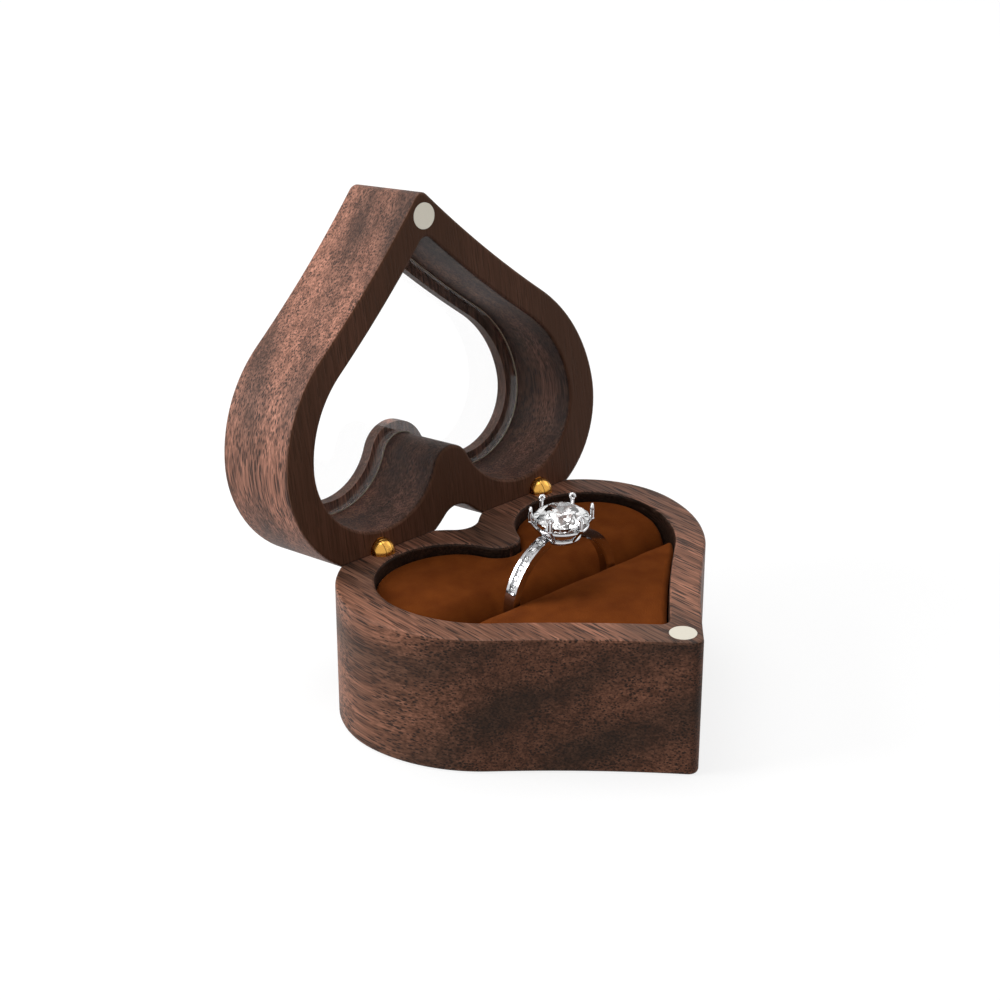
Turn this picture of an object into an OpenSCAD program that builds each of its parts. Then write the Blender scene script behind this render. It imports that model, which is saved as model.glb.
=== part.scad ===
// Heart-shaped walnut ring box, shown open, with a ring standing in its cushion slot.
// Frame: +Z up, tip of the heart towards -Y, lobes and hinges at +Y, the middle of the underside at 0,0,0.
// The lid is drawn closed on the base and then swung back to its open rest pose.

/* [Heart outline] */
// Width across both lobes
box_w = 60; // [54:0.5:66]
// Distance of each lobe's centre from the middle, as a part of the width
lobe_part = 0.2267; // [0.221:0.001:0.232]
// Distance of the lobe centres behind the middle of the box
lobe_y = 10.3; // [9.8:0.1:10.8]
// Radius of the flank below each lobe
flank_r = 23.3; // [22.5:0.1:24.5]
// Angle at which the lobe turns into the flank
flank_top = -6; // [-9:0.5:-4]
// Angle at which the flank turns into the front side
flank_low = -51; // [-52.5:0.5:-50]
// Radius of the slightly hollow front sides
front_r = 190; // [170:5:240]
// Radius of the rounded tip
tip_r = 1.5; // [1:0.1:2.2]
// Radius of the cleft between the lobes
cleft_r = 3.6; // [3:0.1:4.6]
// Radius of the eased wood edges
ease_r = 0.4; // [0.3:0.05:0.5]

/* [Base] */
// Height of the base block
base_h = 21.2; // [20.6:0.1:26]
// Width of the wooden wall
wall = 5.1; // [5:0.1:5.4]
// Thickness of the floor
floor_t = 3; // [2:0.1:4]
// Sideways place of the hollow, which is milled a little off the middle
hollow_x = 0.5; // [-0.6:0.1:0.6]
// Distance of the hollow behind the middle
hollow_y = -0.3; // [-0.4:0.1:0.3]
// Radius of both hollows' inner corner at the tip
hollow_tip_r = 1.4; // [0.8:0.1:1.8]
// Radius of both hollows' inner corner at the cleft
hollow_cleft_r = 3.5; // [3.3:0.1:4.6]

/* [Lid] */
// Height of the lid block
lid_h = 15.9; // [15.5:0.1:20]
// Sideways place of the lid's hollow
lid_hollow_x = -0.1; // [-0.6:0.1:0.6]
// Distance of the lid's hollow behind the middle
lid_hollow_y = -0.8; // [-1:0.1:0.3]
// Thickness of the lip that frames the window
lip_t = 2; // [1.4:0.1:3]
// Width of the ledge under the window pane
ledge_w = 1.7; // [1.2:0.1:2]
// Thickness of the window pane
pane_t = 1.5; // [1:0.1:2]
// Clearance round and under the pane
pane_fit = 0.1; // [0.05:0.01:0.2]
// Hair gap between the closed halves
seam = 0.1; // [0.06:0.01:0.2]
// Angle of the open lid
open_angle = 98.9; // [92:0.1:105]

/* [Hinges] */
// Sideways place of the middle between the two hinges
hinge_mid = 0.7; // [-0.8:0.1:0.8]
// Distance of each hinge outside the centre of its lobe
hinge_out = 2.2; // [-1:0.1:2.6]
// Distance of the hinge line in front of the back of the lobes
hinge_in = 2.9; // [2.6:0.05:3]
// Radius of the brass barrels
barrel_r = 2; // [1.8:0.05:2.05]
// Depth of each barrel in the wood
barrel_len = 10; // [7:0.5:12]
// Clearance of a barrel in its bore
barrel_fit = 0.04; // [0.02:0.01:0.06]
// Number of interleaved hinge leaves
leaf_n = 3; // [3:2:5]
// Running gap beside and round a leaf
leaf_gap = 0.08; // [0.04:0.01:0.1]
// Radius of the hinge pin
pin_r = 0.5; // [0.35:0.05:0.55]
// Clearance of the pin in the leaves
pin_fit = 0.03; // [0.02:0.01:0.05]
// Number of gripping grooves round a barrel
groove_n = 5; // [3:1:7]
// Depth of a gripping groove
groove_d = 0.2; // [0.1:0.05:0.3]
// Extra angle of each rear bevel beyond half the opening
bevel_relief = 0.4; // [0.2:0.1:1]
// Setback of each rear bevel and barrel mitre from the hinge line
bevel_gap = 0.05; // [0.03:0.01:0.1]

/* [Magnets] */
// Radius of the disc magnets
magnet_r = 1.95; // [1.5:0.05:2.05]
// Thickness of the disc magnets
magnet_t = 1.5; // [1:0.1:3]
// Distance of the magnets behind the tip
magnet_in = 3.43; // [3.3:0.05:3.6]
// Clearance of a magnet in its pocket
magnet_fit = 0.04; // [0.02:0.01:0.08]

/* [Cushions] */
// Depth of the cushions' highest line below the rim
cushion_drop = 1.3; // [1.2:0.1:2.4]
// Gap between the cushions and the wood
cushion_gap = 0.25; // [0.2:0.05:0.4]
// Radius of the cushions' rolled edges
cushion_edge = 0.7; // [0.4:0.1:1]
// Crown of each cushion
cushion_crown = 0.4; // [0.2:0.1:0.8]
// Radius of the roll down into the slot
roll_r = 5.6; // [4:0.1:6.5]
// Distance of the slot behind the middle of the box
slot_y = 1.3; // [0.5:0.05:3]
// Width of the ring slot
slot_w = 2.5; // [2.4:0.1:3]
// Gap below the two cushions where they meet
toe_gap = 0.2; // [0.15:0.05:0.3]

/* [Ring] */
// Inner radius of the ring
finger_r = 8.7; // [8.2:0.1:9]
// Thickness of the band
band_t = 1.5; // [1.2:0.1:1.7]
// Bevel on both inner edges of the band
band_bevel = 0.25; // [0.1:0.05:0.35]
// Width of the band
band_w = 2; // [1.7:0.05:2.05]
// Sideways place of the ring in the slot
ring_x = -0.1; // [-4:0.1:4]
// Height of the ring's centre above the rest face
ring_z = 18; // [17:0.1:19]
// Clearance between the ring and the bottom of the slot
ring_seat = 0.25; // [0.2:0.05:0.4]
// Opening in the top of the band for the head
head_gap_angle = 36; // [34:1:38]
// Radius of the large stone
stone_r = 4.1; // [3.9:0.05:4.2]
// Depth of the large stone below its girdle
pavilion_h = 3.2; // [3:0.1:3.3]
// Height of the large stone above its girdle
crown_h = 1.2; // [0.9:0.1:1.4]
// Thickness of the large stone's girdle
girdle_t = 0.16; // [0.1:0.02:0.3]
// Height of the girdle above the ring's centre
girdle_z = 12.1; // [12:0.1:12.4]
// Turn of the prongs about the stone's axis
head_turn = -4; // [-8:1:8]
// Number of prongs
prong_n = 6; // [4:2:8]
// Radius of the prong wire
wire_r = 0.3; // [0.22:0.01:0.32]
// Radius of the eye at the top of a prong
eye_r = 0.37; // [0.32:0.01:0.42]
// Radius of the wire of that eye
eye_wire_r = 0.2; // [0.16:0.01:0.22]
// Distance of the lower rail inside the band's outer edge at the opening
rail_in = 0.66; // [0.64:0.02:0.9]
// Distance of the lower rail below that edge
rail_drop = 0.58; // [0.5:0.02:0.58]
// Radius of the lower rail's wire
low_rail_r = 0.4; // [0.34:0.02:0.4]
// Radius of the gallery rail's wire
high_rail_r = 0.28; // [0.2:0.02:0.3]
// Distance of the gallery rail below the girdle
high_rail_drop = 1.2; // [1.1:0.1:1.5]
// Clearance between the stone and the prongs
stone_fit = 0.05; // [0.04:0.01:0.12]
// Height of the eyes above the girdle
eye_h = 1.3; // [1:0.1:1.5]
// Number of small stones on each shoulder
side_n = 6; // [3:1:6]
// Radius of the small stones
side_r = 0.55; // [0.45:0.01:0.58]
// Angle between neighbouring small stones
side_pitch = 9; // [8:0.5:9.5]
// Depth of the channel that holds the small stones
channel_d = 0.35; // [0.25:0.05:0.45]

/* [Hidden] */
$fn = 48;
lobe_x = lobe_part * box_w;
lobe_r = box_w / 2 - lobe_x;
lobe_c = [lobe_x, lobe_y];
flank_c = lobe_c - (flank_r - lobe_r) * [cos(flank_top), sin(flank_top)];
front_c = flank_c + (flank_r + front_r) * [cos(flank_low), sin(flank_low)];
hinge_x = lobe_x + hinge_out;
hinge_y = lobe_y + lobe_r - hinge_in;
magnet_y = tip_r - tip_c(0, tip_r).y - magnet_in;
axis_z = base_h + seam / 2;
lid_z = base_h + seam;
pane_z = lid_z + lid_h - lip_t - pane_t - pane_fit;
bevel = open_angle / 2 + bevel_relief;
leaf_pitch = 1.8 * barrel_r / leaf_n;
leaf_t = leaf_pitch - leaf_gap;
dome_r = barrel_r - 0.03;
cushion_top = base_h - cushion_drop;
slot_front = slot_y - slot_w / 2;
slot_back = slot_y + slot_w / 2;
band_r = finger_r + band_t;
slot_floor = ring_z - band_r - ring_seat;
edge_turns = [0, 45, 90];
roll_turns = [0:30:90];
cushion_turns = [0, each roll_turns];
cushion_heights = concat([floor_t + toe_gap],
    [for (t = roll_turns) cushion_top + cushion_edge / 4 - cushion_edge * (1 - sin(t))]);
far = 2 * box_w;
eps = 0.01;

// Outline: each arc is given by its centre, radius, end angles and number of steps.
function arc(c, r, a, b, n) =
    [for (i = [0:n]) c + r * [cos(a + (b - a) * i / n), sin(a + (b - a) * i / n)]];
function head(p) = [for (i = [0:len(p) - 2]) p[i]];
function tip_c(w, tr) = [0, front_c.y + sqrt(pow(front_r + w + tr, 2) - pow(front_c.x, 2))];
function cleft_c(w, cr) = [0, lobe_y + sqrt(pow(lobe_r - w + cr, 2) - pow(lobe_x, 2))];
function bearing(a, b) = atan2(b.y - a.y, b.x - a.x);
// The half outline from the tip to the flank, w inside the outer face, up to an angle on the flank.
// Each arc has a multiple of n steps.
function lower_half(w, tr, top, n) = let (t = tip_c(w, tr)) concat(
    head(arc(t, tr, -90, bearing(t, front_c), 2 * n)),
    head(arc(front_c, front_r + w, bearing(front_c, t), flank_low + 180, 3 * n)),
    arc(flank_c, flank_r - w, flank_low, top, 3 * n));
// The half outline from an angle on the flank over the lobe to the cleft.
function upper_half(w, cr, low, n) = let (c = cleft_c(w, cr)) concat(
    head(arc(flank_c, flank_r - w, low, flank_top, 2 * n)),
    head(arc(lobe_c, lobe_r - w, flank_top, bearing(lobe_c, c), 8 * n)),
    arc(c, cr, bearing(c, lobe_c), -90, 2 * n));
function tail(p) = [for (i = [1:len(p) - 1]) p[i]];
function flipped(p) = [for (i = [len(p) - 1:-1:0]) [-p[i].x, p[i].y]];
function inside(p) = [for (i = [1:len(p) - 2]) p[i]];
function heart(w, tr, cr) =
    let (h = concat(head(lower_half(w, tr, (flank_top + flank_low) / 2, 4)),
                    upper_half(w, cr, (flank_top + flank_low) / 2, 4)))
    concat(h, inside(flipped(h)));
// The flank's angle at a distance y behind the middle, w inside the outer face.
function flank_at(y, w) = asin((y - flank_c.y) / (flank_r - w));

// A closed skin over rings of one outline, each at its own height.
module skin(rings, heights) {
    n = len(rings[0]);
    m = len(rings);
    points = [for (k = [0:m - 1]) for (p = rings[k]) [p.x, p.y, heights[k]]];
    under = [for (i = [0:n - 1]) i];
    over = [for (i = [n - 1:-1:0]) (m - 1) * n + i];
    sides = [for (k = [0:m - 2]) for (i = [0:n - 1])
        let (a = k * n + i, b = k * n + (i + 1) % n) each [[a, a + n, b + n], [a, b + n, b]]];
    polyhedron(points, concat([under, over], sides));
}

// A wood block with both its edges eased to a quarter round.
module block(z0, z1) {
    low = [for (t = edge_turns) [ease_r * (1 - sin(t)), z0 + ease_r * (1 - cos(t))]];
    high = [for (t = edge_turns) [ease_r * (1 - cos(t)), z1 - ease_r * (1 - sin(t))]];
    line = concat(low, high);
    skin([for (p = line) heart(p.x, tip_r - p.x, cleft_r + p.x)], [for (p = line) p.y]);
}

// The hollow inside the wall, or what fits in it, drawn in by d all round.
module hollow(d, z0, z1) {
    translate([0, 0, z0]) linear_extrude(z1 - z0)
        polygon(heart(wall + d, hollow_tip_r, hollow_cleft_r + d));
}

// A hollow from z0 up to a rim, which it opens out to a quarter round.
module open_hollow(z0, rim) {
    line = concat([[0, z0]], [for (t = edge_turns) [ease_r * (1 - cos(t)), rim - ease_r * (1 - sin(t))]],
        [[ease_r, rim + 1]]);
    skin([for (p = line) heart(wall - p.x, hollow_tip_r + p.x, hollow_cleft_r - p.x)], [for (p = line) p.y]);
}

// Moves the hollow of the base, and what lies in it, a little off the middle.
module off_middle() {
    translate([hollow_x, hollow_y, 0]) children();
}

// Does the same for the closed lid's hollow, its ledge and the pane.
module lid_off_middle() {
    translate([lid_hollow_x, lid_hollow_y, 0]) children();
}

// Turns what is drawn closed into the open rest pose.
module opened() {
    translate([0, hinge_y, axis_z]) rotate([-open_angle, 0, 0]) translate([0, -hinge_y, -axis_z]) children();
}

// Everything above the bevel that slopes down behind the hinge line.
module behind_bevel() {
    rotate([-bevel, 0, 0]) translate([-far / 2, -eps, -bevel_gap]) cube([far, far, far]);
}

// Puts what is drawn on a hinge line of its own on the left or right hinge.
module at_hinge(s) {
    translate([hinge_mid + s * hinge_x, hinge_y, axis_z]) children();
}

module hinge_bores() {
    for (s = [-1, 1]) at_hinge(s) translate([0, 0, -barrel_len - barrel_fit])
        cylinder(r = barrel_r + barrel_fit, h = barrel_len + seam);
}

module magnet_pocket() {
    translate([0, -magnet_y, base_h - magnet_t - magnet_fit])
        cylinder(r = magnet_r + magnet_fit, h = magnet_t + seam);
}

// The rear bevel and what is bored into the seam face of either half.
module fitting_cuts() {
    translate([0, hinge_y, axis_z]) behind_bevel();
    hinge_bores();
    magnet_pocket();
}

// Mirrors about the plane of the closed seam, for what base and lid have in common.
module across_seam() {
    translate([0, 0, axis_z]) mirror([0, 0, 1]) translate([0, 0, -axis_z]) children();
}

module base_body() {
    color("saddlebrown") difference() {
        difference() {
            block(0, base_h);
            off_middle() open_hollow(floor_t, base_h);
        }
        fitting_cuts();
    }
}

module lid_frame() {
    color("sienna") opened() difference() {
        block(lid_z, lid_z + lid_h);
        lid_off_middle() {
            across_seam() open_hollow(2 * axis_z - lid_z - lid_h + lip_t, base_h);
            hollow(ledge_w, base_h, lid_z + lid_h + 1);
        }
        across_seam() fitting_cuts();
    }
}

module window_pane() {
    color("lightcyan", 0.4) opened() lid_off_middle() hollow(pane_fit, pane_z, pane_z + pane_t);
}

module magnet() {
    color("silver") translate([0, -magnet_y, base_h - magnet_t]) cylinder(r = magnet_r, h = magnet_t);
}

// Interleaved leaves: slices of one ball about as wide as the barrel, which together make its dome.
function leaf_x(i) = (i - (leaf_n - 1) / 2) * leaf_pitch;

module slice_of_ball(r, x, t) {
    rotate([0, 90, 0]) intersection() {
        sphere(r = r);
        translate([-barrel_len, -barrel_len, x - t / 2]) cube([2 * barrel_len, 2 * barrel_len, t]);
    }
}

module rod_along_x(r, t) {
    translate([-t / 2, 0, 0]) rotate([0, 90, 0]) cylinder(r = r, h = t);
}

// Brass barrel with gripping grooves, a flat front face and a mitred rear.
module barrel_shell() {
    step = (barrel_len - barrel_r - 1) / groove_n;
    difference() {
        translate([0, 0, -barrel_len]) difference() {
            cylinder(r = barrel_r, h = barrel_len - bevel_gap);
            for (k = [1:groove_n]) translate([0, 0, k * step]) difference() {
                cylinder(r = barrel_r + 1, h = step / 3);
                cylinder(r = barrel_r - groove_d, h = step / 3);
            }
        }
        behind_bevel();
    }
}

// One half of a hinge, hanging below the hinge line, with every second leaf from the first one given.
module barrel(first) {
    color("gold") difference() {
        union() {
            barrel_shell();
            for (i = [first:2:leaf_n - 1]) slice_of_ball(dome_r, leaf_x(i), leaf_t);
        }
        for (i = [1 - first:2:leaf_n - 1])
            slice_of_ball(dome_r + leaf_gap, leaf_x(i), leaf_t + 2 * leaf_gap);
        rod_along_x(pin_r + pin_fit, 3 * barrel_r);
    }
}

module base_barrel(s) {
    at_hinge(s) barrel(0);
}

module lid_barrel(s) {
    opened() across_seam() at_hinge(s) barrel(1);
}

module hinge_pin(s) {
    color("darkgoldenrod") at_hinge(s) rod_along_x(pin_r, leaf_n * leaf_pitch - leaf_gap);
}

// How far a cushion's side is drawn in where its rolled edge has turned by t.
function drawn_in(t) = cushion_edge * (1 - cos(t));
function front_ring(d) =
    let (w = wall + cushion_gap + d, top = flank_at(slot_front - hollow_y - d, w),
         half = lower_half(w, hollow_tip_r, top, 3))
    concat(half, head(flipped(half)));
function rear_ring(d) =
    let (w = wall + cushion_gap + d, low = flank_at(slot_front - hollow_y + toe_gap + d, w),
         half = upper_half(w, hollow_cleft_r + cushion_gap + d, low, 3))
    concat(half, tail(flipped(half)));

module along_x(profile) {
    rotate([90, 0, 90]) linear_extrude(box_w, center = true) polygon(profile);
}

// A shallow arch from one side view point to another, bulging upwards by the crown.
function arch(p, q, crown, n) =
    [for (i = [0:n]) p + (q - p) * i / n + [0, crown * 4 * (i / n) * (1 - i / n)]];

module front_cushion() {
    low = cushion_top - cushion_crown;
    front = tip_c(wall, hollow_tip_r).y - 2;
    color("saddlebrown") intersection() {
        off_middle() skin([for (t = cushion_turns) front_ring(drawn_in(t))], cushion_heights);
        along_x(concat(arch([slot_front, low], [front, low], cushion_crown, 12),
            [[front, 0], [slot_front, 0]]));
    }
}

module rear_cushion() {
    low = cushion_top - cushion_crown;
    roll_c = [slot_back + roll_r, low - roll_r];
    back = lobe_y + lobe_r;
    color("saddlebrown") intersection() {
        off_middle() skin([for (t = cushion_turns) rear_ring(drawn_in(t))], cushion_heights);
        along_x(concat(
            [[back, 0], [slot_front, 0], [slot_front, slot_floor], [slot_back, slot_floor]],
            arc(roll_c, roll_r, 180, 96, 12),
            arch(roll_c + [0, roll_r], [back, low], cushion_crown, 10)));
    }
}

// Ring: drawn round its own centre, with the finger hole along Y.
module ring_place() {
    translate([ring_x, slot_y, ring_z]) children();
}

module sweep_round(from, to) {
    rotate([90, 0, 0]) rotate([0, 0, from]) rotate_extrude(angle = to - from, $fn = 96) children();
}

function side_angle(k) = 90 - head_gap_angle / 2 - side_pitch * (k + 0.6);

module side_seat(k, s) {
    rotate([0, s * (90 - side_angle(k)), 0]) translate([0, 0, band_r - channel_d]) children();
}

module ring_band() {
    reach = side_angle(side_n - 1) - side_pitch / 2;
    color("whitesmoke") ring_place() difference() {
        sweep_round(90 + head_gap_angle / 2, 450 - head_gap_angle / 2) polygon([
            [finger_r + band_bevel, -band_w / 2], [band_r, -band_w / 2], [band_r, band_w / 2],
            [finger_r + band_bevel, band_w / 2], [finger_r, band_w / 2 - band_bevel],
            [finger_r, band_bevel - band_w / 2]]);
        for (s = [-1, 1]) {
            mirror([s > 0 ? 0 : 1, 0, 0]) sweep_round(reach, 88 - head_gap_angle / 2)
                translate([band_r - channel_d, -side_r]) square([1, 2 * side_r]);
            for (k = [0:side_n - 1]) side_seat(k, s)
                translate([0, 0, -0.5]) cylinder(r = side_r * 0.7, h = 1);
        }
    }
}

module rod(a, b, r) {
    d = b - a;
    translate(a) rotate([0, atan2(norm([d.x, d.y]), d.z), atan2(d.y, d.x)])
        cylinder(r = r, h = norm(d), $fn = 16);
}

// One prong: a wire that leans out from the lower rail, turns upright beside the girdle and ends in an eye.
module prong(foot_r, foot_z, top_r, knee_z, top_z) {
    rod([foot_r, 0, foot_z], [top_r, 0, knee_z], wire_r);
    translate([top_r, 0, knee_z]) sphere(r = 1.15 * wire_r, $fn = 24);
    rod([top_r, 0, knee_z], [top_r, 0, top_z - eye_r], wire_r);
    translate([top_r, 0, top_z]) rotate([0, 90, 0])
        rotate_extrude($fn = 24) translate([eye_r, 0]) circle(r = eye_wire_r, $fn = 16);
}

module rail(r, z, t) {
    translate([0, 0, z]) rotate_extrude() translate([r, 0]) circle(r = t, $fn = 16);
}

module ring_head() {
    foot_r = band_r * sin(head_gap_angle / 2) - rail_in;
    foot_z = band_r * cos(head_gap_angle / 2) - rail_drop;
    top_r = stone_r + stone_fit + wire_r;
    knee_z = girdle_z - 0.5;
    rail_z = girdle_z - high_rail_drop;
    rail_r = foot_r + (top_r - foot_r) * (rail_z - foot_z) / (knee_z - foot_z);
    color("whitesmoke") ring_place() {
        rail(foot_r, foot_z, low_rail_r);
        rail(rail_r - 0.15, rail_z, high_rail_r);
        for (k = [0:prong_n - 1]) rotate([0, 0, head_turn + 360 * (k + 0.5) / prong_n])
            prong(foot_r, foot_z, top_r, knee_z, girdle_z + eye_h);
    }
}

// Brilliant cut: eightfold rings of corners from the table down to the culet.
// m, g, h and n count the corners before the star ring, both girdle rings and the lower ring.
module brilliant(r, up, down, girdle) {
    function turn(rr, z, a) = [rr * cos(a), rr * sin(a), z];
    points = concat(
        [for (i = [0:7]) turn(0.56 * r, girdle / 2 + up, 45 * i)],
        [for (i = [0:7]) turn(0.81 * r, girdle / 2 + 0.58 * up, 45 * i + 22.5)],
        [for (i = [0:15]) turn(r, girdle / 2, 22.5 * i)],
        [for (i = [0:15]) turn(r, -girdle / 2, 22.5 * i)],
        [for (i = [0:7]) turn(0.24 * r, -girdle / 2 - 0.8 * down, 45 * i + 22.5)],
        [[0, 0, -girdle / 2 - down]]);
    m = 8;
    g = 16;
    h = 32;
    n = 48;
    culet = 56;
    polyhedron(points, concat(
        [[for (i = [7:-1:0]) i]],
        [for (i = [0:7]) let (j = (i + 1) % 8) each [
            [i, j, m + i], [j, m + j, m + i],
            [m + j, g + (2 * j) % 16, m + i],
            [m + i, g + (2 * i + 2) % 16, g + 2 * i + 1], [m + i, g + 2 * i + 1, g + 2 * i]]],
        [for (i = [0:15]) let (j = (i + 1) % 16) each [[g + i, g + j, h + j], [g + i, h + j, h + i]]],
        [for (i = [0:7]) let (j = (i + 1) % 8) each [
            [n + i, h + 2 * i, h + 2 * i + 1], [n + i, h + 2 * i + 1, h + (2 * i + 2) % 16],
            [n + i, h + (2 * j) % 16, n + j], [n + i, n + j, culet]]]));
}

module main_stone() {
    color("azure") ring_place() translate([0, 0, girdle_z]) brilliant(stone_r, crown_h, pavilion_h, girdle_t);
}

module side_stones(s) {
    color("azure") ring_place() for (k = [0:side_n - 1]) side_seat(k, s)
        rotate_extrude($fn = 16) polygon([[0, -0.4], [side_r - 0.03, 0.08], [side_r * 0.6, 0.3], [0, 0.3]]);
}

base_body();
lid_frame();
window_pane();
magnet();  // base_magnet
opened() across_seam() magnet();  // lid_magnet
base_barrel(-1);  // base_barrel_left
base_barrel(1);  // base_barrel_right
lid_barrel(-1);  // lid_barrel_left
lid_barrel(1);  // lid_barrel_right
hinge_pin(-1);  // hinge_pin_left
hinge_pin(1);  // hinge_pin_right
front_cushion();
rear_cushion();
ring_band();
ring_head();
main_stone();
side_stones(-1);  // side_stones_left
side_stones(1);  // side_stones_right
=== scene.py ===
import bmesh
import bpy
import numpy as np
from mathutils import Matrix


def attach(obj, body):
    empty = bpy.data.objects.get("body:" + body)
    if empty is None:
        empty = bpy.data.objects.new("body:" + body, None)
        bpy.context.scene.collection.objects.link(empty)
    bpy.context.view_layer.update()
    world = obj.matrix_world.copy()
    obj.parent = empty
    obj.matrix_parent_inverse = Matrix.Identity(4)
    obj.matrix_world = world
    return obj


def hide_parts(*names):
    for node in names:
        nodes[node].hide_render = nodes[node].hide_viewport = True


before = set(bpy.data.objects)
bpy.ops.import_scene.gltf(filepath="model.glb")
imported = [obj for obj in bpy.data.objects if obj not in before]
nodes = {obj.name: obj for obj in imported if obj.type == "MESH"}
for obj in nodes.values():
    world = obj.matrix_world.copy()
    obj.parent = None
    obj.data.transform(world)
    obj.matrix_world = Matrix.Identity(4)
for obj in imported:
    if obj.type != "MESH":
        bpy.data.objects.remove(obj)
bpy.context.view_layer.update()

# Studio. A plain pale table that runs on behind the box as its own backdrop, under soft light from
# large panels on the left and above, a weak one on the right and a surround that is brightest behind.
# The camera stands at the photograph's angle, a little above the box and off the tip of the heart.


def new_object(name, data):
    """A new object in the scene, at the origin."""
    made = bpy.data.objects.new(name, data)
    bpy.context.scene.collection.objects.link(made)
    return made


def stand(name, data, axes, place):
    """A camera or lamp stood at a place in metres, with its right, up and back as the rows of axes."""
    holder = new_object(name, data)
    matrix = np.eye(4)
    matrix[:3, :3] = np.transpose(axes)
    matrix[:3, 3] = place
    holder.matrix_world = Matrix(matrix.tolist())
    return holder


yaw, pitch, roll = np.radians([-41.798, 25.462, 0.042])
back = np.array([np.sin(yaw) * np.cos(pitch), -np.cos(yaw) * np.cos(pitch), np.sin(pitch)])
right = np.array([np.cos(yaw), np.sin(yaw), 0.0])
up = np.cross(back, right)
camera_axes = np.array([np.cos(roll) * right + np.sin(roll) * up,
                        np.cos(roll) * up - np.sin(roll) * right, back])
right_up_back_mm = np.array([-9.695, 29.942, 332.614])
camera_data = bpy.data.cameras.new("studio_camera")
camera_data.sensor_width = 36.0
camera_data.lens = 80.66
camera_data.clip_start = 0.01
bpy.context.scene.camera = stand("studio_camera", camera_data, camera_axes,
                                 0.001 * camera_axes.T @ right_up_back_mm)
bpy.context.scene.view_settings.view_transform = "Standard"


def mesh_piece(name, points, faces, smooth=True):
    """A mesh object at the origin from an (n, 3) array of points in metres and an array of quads."""
    mesh = bpy.data.meshes.new(name)
    mesh.from_pydata(points.tolist(), [], faces.tolist())
    mesh.update()
    mesh.polygons.foreach_set("use_smooth", [smooth] * len(mesh.polygons))
    return new_object(name, mesh)


def grid_faces(rows, columns):
    """Quads between neighbouring rows and columns of points stored row by row."""
    i = (np.arange(rows - 1)[:, None] * columns + np.arange(columns - 1)[None, :]).ravel()
    return np.stack([i, i + 1, i + columns + 1, i + columns], axis=1)


def node_material(name, settings):
    """A node material with constants set on its shader; returns it, its node tree and the shader."""
    material = bpy.data.materials.new(name)
    material.use_nodes = True
    shader = material.node_tree.nodes["Principled BSDF"]
    for label, constant in settings.items():
        shader.inputs[label].default_value = constant
    return material, material.node_tree, shader


def feed(tree, socket, term):
    """Sets a socket to a number or tuple, or links another node's output to it."""
    if isinstance(term, (int, float, tuple)):
        socket.default_value = term
    else:
        tree.links.new(term, socket)


def worked(tree, kind, operation, *terms):
    """The result of a Math or VectorMath node on terms, which are numbers, triples or outputs."""
    node = tree.nodes.new("ShaderNode" + kind)
    node.operation = operation
    for socket, term in zip(node.inputs, terms):
        feed(tree, socket, term)
    is_number = kind == "Math" or operation in ("DOT_PRODUCT", "LENGTH")
    return node.outputs["Value" if is_number else "Vector"]


def mapped(tree, value, ends, levels, curve="LINEAR"):
    """A value taken from between two ends to between two levels, and held level beyond the ends."""
    node = tree.nodes.new("ShaderNodeMapRange")
    node.interpolation_type = curve
    for label, number in zip(("From Min", "From Max", "To Min", "To Max"), (*ends, *levels)):
        node.inputs[label].default_value = number
    tree.links.new(value, node.inputs["Value"])
    return node.outputs["Result"]


def seen_directly(tree, share):
    """share where the camera looks, straight or through glass or in polished metal, and 0 elsewhere."""
    rays = tree.nodes.new("ShaderNodeLightPath").outputs
    seen = rays["Is Camera Ray"]
    for ray in ("Is Glossy Ray", "Is Transmission Ray"):
        seen = worked(tree, "Math", "MAXIMUM", seen, rays[ray])
    return worked(tree, "Math", "MULTIPLY", seen, share)


side = np.linspace(-2.0, 2.0, 9)
just_under_box = np.full(side.size ** 2, -0.0001)
floor_points = np.stack([np.tile(side, side.size), np.repeat(side, side.size), just_under_box], axis=1)
table = mesh_piece("table", floor_points, grid_faces(side.size, side.size), smooth=False)
floor_look, tree, shader = node_material("pale_table", {
    "Base Color": (0.2, 0.2, 0.2, 1), "Roughness": 0.9, "Specular IOR Level": 0.1})
glow = tree.nodes.new("ShaderNodeEmission")
glow.inputs["Color"].default_value = (1, 1, 1, 1)
tree.links.new(seen_directly(tree, 0.83), glow.inputs["Strength"])
both = tree.nodes.new("ShaderNodeAddShader")
tree.links.new(shader.outputs[0], both.inputs[0])
tree.links.new(glow.outputs[0], both.inputs[1])
tree.links.new(both.outputs[0], tree.nodes["Material Output"].inputs["Surface"])
table.data.materials.append(floor_look)


def panel(name, place, width, power):
    """A square soft light at a place in metres, turned towards the middle of the box."""
    lamp = bpy.data.lights.new(name, "AREA")
    lamp.size = width
    lamp.energy = power
    away = np.array(place) - np.array([0, 0, 0.03])
    away = away / np.linalg.norm(away)
    across = np.cross([0, 0, 1], away)
    across = across / np.linalg.norm(across)
    stand(name, lamp, [across, np.cross(away, across), away], place)


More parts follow.
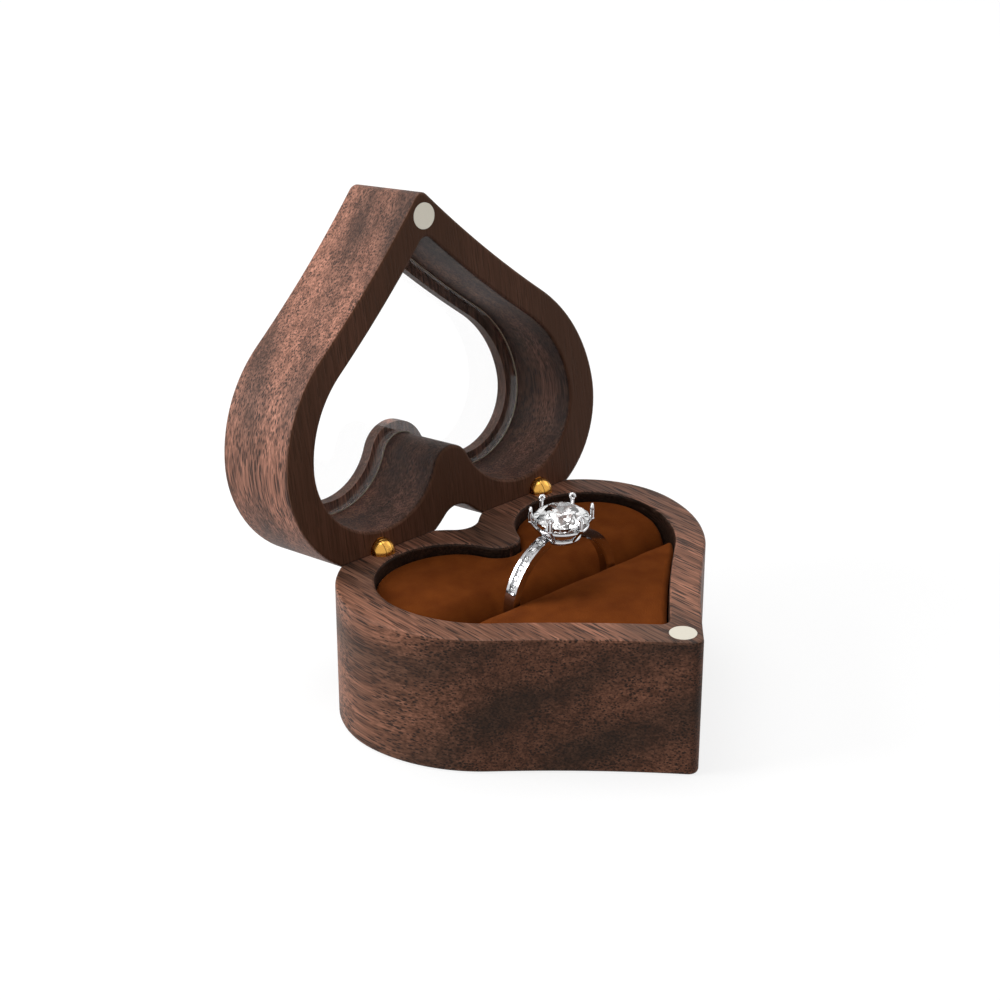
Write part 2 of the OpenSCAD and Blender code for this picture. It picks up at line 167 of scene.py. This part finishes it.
panel("left_panel", (-0.56, 0.42, 0.36), width=0.4, power=5.0)
panel("top_panel", (-0.02, 0.24, 0.72), width=0.5, power=2.8)
panel("right_panel", (0.55, -0.10, 0.40), width=0.4, power=0.5)
world = bpy.data.worlds.new("studio_air")
bpy.context.scene.world = world
world.use_nodes = True
tree = world.node_tree
air = tree.nodes["Background"]
air.inputs["Color"].default_value = (1, 1, 1, 1)
way = tree.nodes.new("ShaderNodeTexCoord").outputs["Generated"]
brightest_way = (-0.42, 0.52, 0.74)
towards_it = worked(tree, "VectorMath", "DOT_PRODUCT", way, brightest_way)
brightness = tree.nodes.new("ShaderNodeMix")
brightness.inputs["B"].default_value = 1.0
tree.links.new(seen_directly(tree, 1.0), brightness.inputs["Factor"])
tree.links.new(mapped(tree, towards_it, (-0.1, 0.75), (0.02, 0.42), "SMOOTHSTEP"), brightness.inputs["A"])
tree.links.new(brightness.outputs["Result"], air.inputs["Strength"])

# Walnut block and lid. Both halves are milled from solid walnut with the grain running from the tip of
# the heart to the cleft, sanded and oiled. Growth rings, streaks and open pores follow the grain, so the
# pores are long dashes on the faces and short dots where the wood is cut across.


def noise(tree, vector, scale, detail=2.0, rough=0.5):
    """Noise at a scale per metre on a vector."""
    node = tree.nodes.new("ShaderNodeTexNoise")
    for label, number in (("Scale", scale), ("Detail", detail), ("Roughness", rough)):
        node.inputs[label].default_value = number
    tree.links.new(vector, node.inputs["Vector"])
    return node.outputs["Fac"]


def ramp(tree, value, *stops):
    """A colour ramp through (position, colour) stops."""
    node = tree.nodes.new("ShaderNodeValToRGB")
    while len(node.color_ramp.elements) < len(stops):
        node.color_ramp.elements.new(0.5)
    for element, (position, colour) in zip(node.color_ramp.elements, stops):
        element.position = position
        element.color = (*colour, 1)
    tree.links.new(value, node.inputs["Fac"])
    return node.outputs["Color"]


def bumped(tree, shader, height, strength, distance):
    """Gives a shader a bump of a height, distance metres deep."""
    node = tree.nodes.new("ShaderNodeBump")
    node.inputs["Strength"].default_value = strength
    node.inputs["Distance"].default_value = distance
    tree.links.new(height, node.inputs["Height"])
    tree.links.new(node.outputs["Normal"], shader.inputs["Normal"])


def walnut(name, turn_back, pale, dark, pith, centre_of_hollow, lip_height, mating_height):
    """Rings are bands of distance from a far pith line along the grain, bent by noise; pores are cells
    stretched along the grain and cut off at a threshold. The walls of the hollow carry a painted shade,
    greyer and darker, and above the lip height darker still: there the normal, with left folded on right,
    points back at the centre of a lobe, so its dot product with the way from that centre is negative.
    Under the mating height the wood is painted a plain brown as shade, which hides its grain."""
    material, tree, shader = node_material(name, {"Roughness": 0.52, "Specular IOR Level": 0.16})
    own = tree.nodes.new("ShaderNodeTexCoord").outputs

    def laid(vector, **settings):
        """A vector through a Mapping node with the given Location, Rotation or Scale."""
        node = tree.nodes.new("ShaderNodeMapping")
        for label, triple in settings.items():
            node.inputs[label].default_value = triple
        tree.links.new(vector, node.inputs["Vector"])
        return node.outputs["Vector"]

    grain = laid(own["Object"], Rotation=(turn_back, 0, 0))

    def stretched(scale, along, detail, rough=0.55):
        """Noise drawn out along the grain."""
        return noise(tree, laid(grain, Scale=(1, along, 1)), scale, detail, rough)

    def sum_of(a, b, factor):
        """a plus factor times b."""
        return worked(tree, "Math", "MULTIPLY_ADD", b, factor, a)

    def blend(kind, factor, a, b):
        """Colours a and b mixed; the factor and b are constants or outputs."""
        node = tree.nodes.new("ShaderNodeMix")
        node.data_type = "RGBA"
        node.blend_type = kind
        for socket, term in ((node.inputs["Factor"], factor), (node.inputs[6], a), (node.inputs[7], b)):
            feed(tree, socket, term)
        return node.outputs[2]

    def parts(vector):
        """The three parts of a vector."""
        node = tree.nodes.new("ShaderNodeSeparateXYZ")
        tree.links.new(vector, node.inputs[0])
        return node.outputs

    from_pith = worked(tree, "VectorMath", "LENGTH", laid(grain, Location=pith, Scale=(1, 0.12, 1)))
    bent = sum_of(from_pith, stretched(scale=34, along=0.22, detail=3), 0.012)
    radians_per_metre = 620
    rings = worked(tree, "Math", "SINE", worked(tree, "Math", "MULTIPLY", bent, radians_per_metre))
    banded = sum_of(stretched(scale=55, along=0.12, detail=3, rough=0.45), rings, 0.11)
    middle = tuple((a + b) / 2 for a, b in zip(pale, dark))
    heartwood = ramp(tree, banded, (0.3, dark), (0.47, middle), (0.68, pale))
    fibre_height = stretched(scale=3300, along=0.035, detail=3)
    fibre = ramp(tree, fibre_height, (0.34, (0.34, 0.32, 0.30)), (0.66, (1.62, 1.57, 1.52)))
    streaks = ramp(tree, stretched(scale=700, along=0.03, detail=2),
                   (0.36, (0.66, 0.64, 0.62)), (0.6, (1.15, 1.14, 1.13)))
    oiled = blend("MULTIPLY", 1.0, blend("MULTIPLY", 0.9, heartwood, fibre), streaks)

    cells = tree.nodes.new("ShaderNodeTexVoronoi")
    cells.inputs["Scale"].default_value = 2700
    tree.links.new(laid(grain, Scale=(1, 0.075, 1)), cells.inputs["Vector"])
    crowd = sum_of(cells.outputs["Distance"], stretched(scale=330, along=0.25, detail=2), 0.55)
    pores = ramp(tree, crowd, (0.54, (1, 1, 1)), (0.64, (0, 0, 0)))

    left_or_right = worked(tree, "Math", "SIGN", parts(own["Object"])["X"])
    fold = tree.nodes.new("ShaderNodeCombineXYZ")
    for socket, term in zip(fold.inputs, (left_or_right, 1.0, 1.0)):
        feed(tree, socket, term)
    folded = worked(tree, "VectorMath", "MULTIPLY", own["Object"], fold.outputs[0])
    outward = worked(tree, "VectorMath", "SUBTRACT", folded, centre_of_hollow)
    folded_normal = worked(tree, "VectorMath", "MULTIPLY", own["Normal"], fold.outputs[0])
    facing_out = worked(tree, "VectorMath", "DOT_PRODUCT", outward, folded_normal)
    # Painted shade: the walls of the hollow are darkened and greyed, and darker still above the lip height.
    walls = mapped(tree, facing_out, (-0.0045, -0.0035), (1.0, 0.0))
    height = parts(grain)["Z"]
    lip = mapped(tree, height, (lip_height - 0.0002, lip_height + 0.0002), (0.0, 1.0))
    painted_wall_shade = ramp(tree, lip, (0.0, (0.72, 0.75, 0.76)), (1.0, (0.24, 0.27, 0.28)))
    wood = blend("MULTIPLY", walls, oiled, painted_wall_shade)
    ink = (dark[0] * 0.3, dark[1] * 0.28, dark[2] * 0.28, 1)
    inked = blend("MIX", worked(tree, "Math", "MULTIPLY", pores, 0.93), wood, ink)
    # Painted shade: under the mating height the wood turns a plain brown that hides its grain.
    mating = mapped(tree, height, (mating_height + 0.00005, mating_height + 0.0003), (0.72, 0.0))
    painted_shade_brown = (0.145, 0.062, 0.031, 1)
    tree.links.new(blend("MIX", mating, inked, painted_shade_brown), shader.inputs["Base Color"])
    bumped(tree, shader, sum_of(fibre_height, pores, -1.2), strength=0.35, distance=0.00008)
    return material


def wood_piece(name, node, body, levels, turn_back, material):
    """A merged copy of a CAD wood solid. Its flat end faces lie at the given levels of the height
    z cos(t) + y sin(t), with t the angle that turns the solid back level; each is filled afresh between
    its own edges, so that no sliver of it stands out over the slightly hollow front sides."""
    merge_within, level_within, crease_radians = 1e-6, 2e-6, 0.35
    mesh = nodes[node].data.copy()
    mesh.name = name
    piece = new_object(name, mesh)
    work = bmesh.new()
    work.from_mesh(mesh)
    bmesh.ops.remove_doubles(work, verts=work.verts, dist=merge_within)
    upright = np.array([0, np.sin(turn_back), np.cos(turn_back)])
    for level in levels:
        flat = {v for v in work.verts if abs(upright @ np.array(v.co) - level) < level_within}
        bmesh.ops.delete(work, geom=[f for f in work.faces if flat.issuperset(f.verts)], context="FACES")
        open_edges = [e for e in work.edges if e.is_boundary]
        bmesh.ops.triangle_fill(work, use_beauty=True, edges=open_edges, normal=upright)
    bmesh.ops.recalc_face_normals(work, faces=work.faces)
    for edge in work.edges:
        edge.smooth = edge.calc_face_angle(0.0) < crease_radians
    work.to_mesh(mesh)
    work.free()
    mesh.polygons.foreach_set("use_smooth", [True] * len(mesh.polygons))
    mesh.materials.clear()
    mesh.materials.append(material)
    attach(piece, body)
    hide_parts(node)


lid_turn = np.radians(98.9)
hinge_y, hinge_z = 23.8, 21.25
sunk = hinge_z - hinge_z * np.cos(lid_turn) - hinge_y * np.sin(lid_turn)
mating_face, ledge, lid_top = 0.001 * (np.array([21.3, 35.2, 37.2]) - sunk)
base_wood = walnut("walnut_base", 0.0, pale=(0.276, 0.125, 0.080), dark=(0.080, 0.043, 0.029),
                   pith=(-0.03, 0, 0.045), centre_of_hollow=(0.010, 0.008, 0.012),
                   lip_height=0.0, mating_height=-1.0)
lid_wood = walnut("walnut_lid", lid_turn, pale=(0.290, 0.138, 0.098), dark=(0.092, 0.047, 0.034),
                  pith=(-0.02, 0, 0.06), centre_of_hollow=(0.010, 0.0339, 0.03565),
                  lip_height=0.0342, mating_height=mating_face)
wood_piece("walnut_box", "base_body", "base", (0.0, 0.003, 0.0212), 0.0, base_wood)
wood_piece("walnut_lid_frame", "lid_frame", "lid", (mating_face, ledge, lid_top), lid_turn, lid_wood)

# Window pane. Clear plastic cut to the heart's inner outline, laid on the ledge inside the lip.
# It is thin and clean, so only faint reflections show, and a fine bead of clear glue along its edge.


def dressed(name, material):
    """Gives a CAD node its finish in every material slot."""
    mesh = nodes[name].data
    if not mesh.materials:
        mesh.materials.append(material)
    for i in range(len(mesh.materials)):
        mesh.materials[i] = material


def clear_solid(name, roughness, ior):
    """A material that lets all light through and bends it."""
    return node_material(name, {"Base Color": (1, 1, 1, 1), "Roughness": roughness, "IOR": ior,
                                "Transmission Weight": 1.0})[0]


dressed("window_pane", clear_solid("clear_sheet", roughness=0.02, ior=1.49))


def arc(centre, radius, a, b, n):
    """n + 1 points on an arc between two angles in radians."""
    t = np.linspace(a, b, n + 1)[:, None]
    return np.array(centre) + radius * np.concatenate([np.cos(t), np.sin(t)], axis=1)


def bearing(a, b):
    """Angle of the line from a to b."""
    return np.arctan2(b[1] - a[1], b[0] - a[0])


lobe_x, lobe_y, lobe_r = 13.6, 10.3, 16.4
flank_r, front_r = 23.3, 190.0
flank_top, flank_low = np.radians([-6.0, -51.0])


def half_heart(wall, tip_round, cleft_round):
    """Right half of the heart, a wall inside the outer face, as points in millimetres in two runs: from the
    tip round the outside to the lobe's top, and from the cleft up to the lobe's top; and y at the tip arc's
    centre. Each run is a chain of tangent arcs about the tip, front, flank, lobe and cleft centres."""
    lobe_c = np.array([lobe_x, lobe_y])
    flank_c = lobe_c - (flank_r - lobe_r) * np.array([np.cos(flank_top), np.sin(flank_top)])
    front_c = flank_c + (flank_r + front_r) * np.array([np.cos(flank_low), np.sin(flank_low)])
    tip_c = np.array([0, front_c[1] + np.sqrt((front_r + wall + tip_round) ** 2 - front_c[0] ** 2)])
    cleft_c = np.array([0, lobe_y + np.sqrt((lobe_r - wall + cleft_round) ** 2 - lobe_x ** 2)])
    outside = np.concatenate([
        arc(tip_c, tip_round, -np.pi / 2, bearing(tip_c, front_c), 60)[:-1],
        arc(front_c, front_r + wall, bearing(front_c, tip_c), flank_low + np.pi, 160)[:-1],
        arc(flank_c, flank_r - wall, flank_low, flank_top, 160)[:-1],
        arc(lobe_c, lobe_r - wall, flank_top, np.pi / 2, 200)])
    cleft = np.concatenate([
        arc(cleft_c, cleft_round, -np.pi / 2, bearing(cleft_c, lobe_c), 120)[:-1],
        arc(lobe_c, lobe_r - wall, bearing(lobe_c, cleft_c), np.pi / 2, 120)])
    return outside, cleft, tip_c[1]


def tube_round(name, path, radius, sides):
    """A closed tube: around each point of a closed path in a plane, a circle of the given radius spanned by
    the path's sideways direction and the plane's normal, which is the lid's upright."""
    ahead = np.roll(path, -1, 0) - np.roll(path, 1, 0)
    ahead = ahead / np.linalg.norm(ahead, axis=1)[:, None]
    upright = np.array([0, np.sin(lid_turn), np.cos(lid_turn)])
    aside = np.cross(ahead, upright)
    t = np.linspace(0, 2 * np.pi, sides, endpoint=False)[None, :, None]
    points = path[:, None, :] + radius * (np.cos(t) * aside[:, None, :] + np.sin(t) * upright)
    i = np.arange(len(path))[:, None] * sides
    j = np.roll(i, -1, 0)
    k = np.arange(sides)[None, :]
    m = (k + 1) % sides
    faces = np.stack([i + k, j + k, j + m, i + m], axis=-1).reshape(-1, 4)
    return mesh_piece(name, points.reshape(-1, 3), faces)


outside, cleft, _ = half_heart(wall=5.2, tip_round=1.3, cleft_round=3.6)
pane_off_middle = np.array([-0.1, -0.8])
bead_z, bead_radius, every = 33.62, 0.11, 4
half = np.concatenate([outside, cleft[::-1][1:]])[::every]
loop = np.concatenate([half, (half * [-1, 1])[::-1][1:-1]]) + pane_off_middle
behind, above = loop[:, 1] - hinge_y, bead_z - hinge_z
bead_path = np.stack([loop[:, 0], hinge_y + behind * np.cos(lid_turn) + above * np.sin(lid_turn),
                      hinge_z - behind * np.sin(lid_turn) + above * np.cos(lid_turn)], axis=1)
bead = tube_round("pane_bead", 0.001 * bead_path, 0.001 * bead_radius, sides=10)
glue, tree, shader = node_material("clear_glue", {"Base Color": (0.62, 0.55, 0.44, 1), "Roughness": 0.25})


def own_place(tree):
    """The piece's own coordinates in metres."""
    return tree.nodes.new("ShaderNodeTexCoord").outputs["Object"]


bumped(tree, shader, noise(tree, own_place(tree), scale=700), strength=0.5, distance=0.0001)
bead.data.materials.append(glue)
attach(bead, "lid")

# Magnets. Two nickel-plated discs pressed in flush at the tip of each half, lightly scuffed by use.
# The plating has a warm pale tone and a fine, uneven sheen.


def metal(name, colour, metallic, scale, smoothest, roughest):
    """A metal whose roughness wanders between two bounds with noise at a scale per metre."""
    material, tree, shader = node_material(name, {"Base Color": (*colour, 1), "Metallic": metallic})
    worn = mapped(tree, noise(tree, own_place(tree), scale), (0.0, 1.0), (smoothest, roughest))
    tree.links.new(worn, shader.inputs["Roughness"])
    return material


plated = metal("nickel_plating", (0.66, 0.62, 0.53), metallic=0.75, scale=2500, smoothest=0.38, roughest=0.58)
dressed("base_magnet", plated)
dressed("lid_magnet", plated)

# Barrel hinges. Turned brass barrels with a row of thin leaves that turn on a short pin between them;
# they sit in round bores on the hinge line, so only the polished dome of leaves shows.
golden = metal("polished_brass", (0.72, 0.38, 0.08), metallic=1.0, scale=3000, smoothest=0.16, roughest=0.34)
for hinge_part in ("base_barrel_left", "base_barrel_right", "lid_barrel_left", "lid_barrel_right",
                   "hinge_pin_left", "hinge_pin_right"):
    dressed(hinge_part, golden)

# Cushions. Two foam pads wrapped in brown suede and pushed into the hollow: the front one is flat with a
# straight folded edge along the slot, the rear one rolls down into the slot that grips the ring.
pad_wall, pad_tip_round, pad_cleft_round = 5.35, 1.4, 3.75
outer, inner, tip_y = half_heart(pad_wall, pad_tip_round, pad_cleft_round)
off_middle = np.array([0.5, -0.3])
rim = np.concatenate([outer, inner])


def pad_half(line, columns, edge, base_z):
    """One half of a pad. line is its side view, an (n, 2) array of y and z. Each row crosses the hollow at
    that y, from the middle or the cleft to the wall; height is the line's z less a quarter-round of radius
    edge at the wall: edge - sqrt(edge^2 - (edge - d)^2) at a distance d under edge. Returns points, faces."""
    n = len(line)
    y = line[:, 0] - off_middle[1]
    reach = np.interp(y, outer[:, 1], outer[:, 0])
    start = np.interp(y, inner[:, 1], inner[:, 0], left=0.0)
    u = np.sin(np.linspace(0, 1, columns) * np.pi / 2)[None, :]
    x = start[:, None] + (reach - start)[:, None] * u
    flat = np.stack([x, np.repeat(y[:, None], columns, 1)], axis=-1)
    d = np.sqrt(((flat[:, :, None, :] - rim[None, None, :, :]) ** 2).sum(-1)).min(-1)
    gap = edge - np.clip(d, 0, edge)
    drop = edge - np.sqrt(edge ** 2 - gap ** 2)
    fuzz = 0.05 * np.sin(0.9 * flat[..., 0] + 0.4) * np.cos(0.7 * flat[..., 1])
    flat = flat + [0, off_middle[1]]
    top = np.concatenate([flat, (line[:, 1:] - drop + fuzz * (d > edge))[..., None]], axis=-1)
    under = np.concatenate([flat, np.full((n, columns, 1), base_z)], axis=-1)
    m = n * columns
    sheet = grid_faces(n, columns)
    first = np.arange(columns - 1)
    last = (n - 1) * columns + first
    far = np.arange(n - 1) * columns + columns - 1
    cleft = np.arange(n - 1)[start[1:] > 1e-9] * columns
    faces = np.concatenate([
        sheet, sheet[:, ::-1] + m,
        np.stack([first + 1, first, first + m, first + m + 1], axis=1),
        np.stack([last, last + 1, last + m + 1, last + m], axis=1),
        np.stack([far + columns, far + columns + m, far + m, far], axis=1),
        np.stack([cleft + m, cleft + columns + m, cleft + columns, cleft], axis=1)])
    return np.concatenate([top.reshape(-1, 3), under.reshape(-1, 3)]), faces


def pad(name, line, edge, base_z):
    """A whole pad from a half and its mirror image, joined at the middle, with its faces turned outwards."""
    points, faces = pad_half(line, 40, edge, base_z)
    whole = (np.concatenate([points, points * [-1, 1, 1]]) + [off_middle[0], 0, 0]) * 0.001
    made = mesh_piece(name, whole, np.concatenate([faces, faces[:, ::-1] + len(points)]))
    work = bmesh.new()
    work.from_mesh(made.data)
    bmesh.ops.remove_doubles(work, verts=work.verts, dist=2e-6)
    bmesh.ops.dissolve_degenerate(work, edges=work.edges, dist=1e-7)
    bmesh.ops.recalc_face_normals(work, faces=work.faces)
    work.to_mesh(made.data)
    work.free()
    made.data.polygons.foreach_set("use_smooth", [True] * len(made.data.polygons))
    return made


cushion_top, crown, slot_front, slot_back = 19.9, 0.4, 0.05, 2.55
wall_foot, wall_waist, fold_r, roll_r, short_of_tip = 8.0, 14.0, 0.3, 5.6, 0.001
low = cushion_top - crown


def crowned(y, start, end):
    """Points (y, z) of a parabola that rises by the crown midway between start and end."""
    t = (y - start) / (end - start)
    return np.stack([y, low + crown * 4 * t * (1 - t)], axis=1)


y = np.linspace(slot_front - fold_r, tip_y - pad_tip_round + short_of_tip + off_middle[1], 60)
fold = arc([slot_front - fold_r, low - fold_r], fold_r, 0, np.pi / 2, 6)
front_line = np.concatenate([[[slot_front, wall_foot], [slot_front, wall_waist]], fold,
                             crowned(y, slot_front, tip_y)[1:]])[::-1]
roll_c = np.array([slot_back + roll_r, low - roll_r])
y = np.linspace(roll_c[0], lobe_y + lobe_r - pad_wall + off_middle[1], 50)
rear_line = np.concatenate([[[slot_back, wall_foot]], arc(roll_c, roll_r, np.pi, np.pi / 2, 30)[:-1],
                            crowned(y, y[0], y[-1])])
suede, tree, shader = node_material("brown_suede", {
    "Roughness": 0.95, "Specular IOR Level": 0.04, "Sheen Weight": 0.05, "Sheen Roughness": 0.5,
    "Sheen Tint": (0.8, 0.35, 0.16, 1)})
nap = ramp(tree, noise(tree, own_place(tree), scale=260, detail=6),
           (0.3, (0.106, 0.0235, 0.0034)), (0.72, (0.165, 0.040, 0.0062)))
tree.links.new(nap, shader.inputs["Base Color"])
bumped(tree, shader, noise(tree, own_place(tree), scale=4200, detail=4), strength=0.4, distance=0.00015)
for name, line, node in (("front_pad", front_line, "front_cushion"), ("rear_pad", rear_line, "rear_cushion")):
    piece = pad(name, line, edge=0.7, base_z=3.2)
    piece.data.materials.append(suede)
    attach(piece, "base")
    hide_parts(node)

# Ring. A cast and polished white metal band whose shoulders carry a channel of small cut stones, with a
# basket of six prongs that end in small eyes and hold one large brilliant.
polished = metal("polished_white_metal", (0.60, 0.60, 0.61), metallic=1.0, scale=1800,
                 smoothest=0.06, roughest=0.16)
dressed("ring_band", polished)
dressed("ring_head", polished)
brilliant = clear_solid("cut_stone", roughness=0.0, ior=2.3)
for stone in ("main_stone", "side_stones_left", "side_stones_right"):
    dressed(stone, brilliant)
